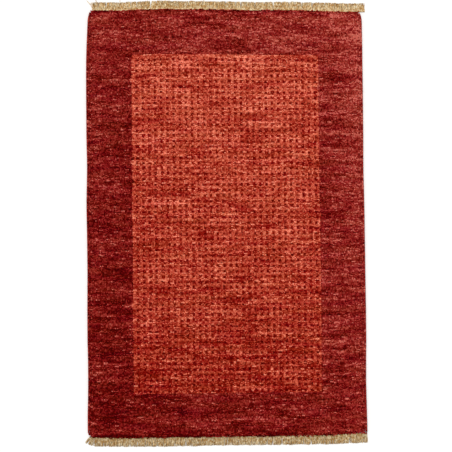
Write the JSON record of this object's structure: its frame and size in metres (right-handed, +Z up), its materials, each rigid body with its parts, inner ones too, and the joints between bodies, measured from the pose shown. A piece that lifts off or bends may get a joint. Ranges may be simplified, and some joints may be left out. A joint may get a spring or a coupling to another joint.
{
  "type": "hand-knotted wool rug",
  "caption": "Small rectangular hand-knotted wool rug lying flat, with overcast long edges and a short undyed warp fringe at both ends.",
  "frame": {"origin": "middle of the rug's underside, fringes included, on the floor that it lies on", "axes": "+Z up out of the pile, +Y along the rug's length to the end with the few longer warp ends, +X across its width"},
  "size_m": [0.8004, 1.2718, 0.0113],
  "materials": {
    "wool_pile": "dull knotted wool pile with uneven red dye",
    "overcast_yarn": "dark wrapped wool yarn",
    "undyed_warp": "undyed spun yarn ends"
  },
  "bodies": {
    "root": {"knotted_body": "wool_pile", "selvedge_left": "overcast_yarn", "selvedge_right": "overcast_yarn", "fringe_top": "undyed_warp", "fringe_bottom": "undyed_warp"}
  },
  "joints": []
}
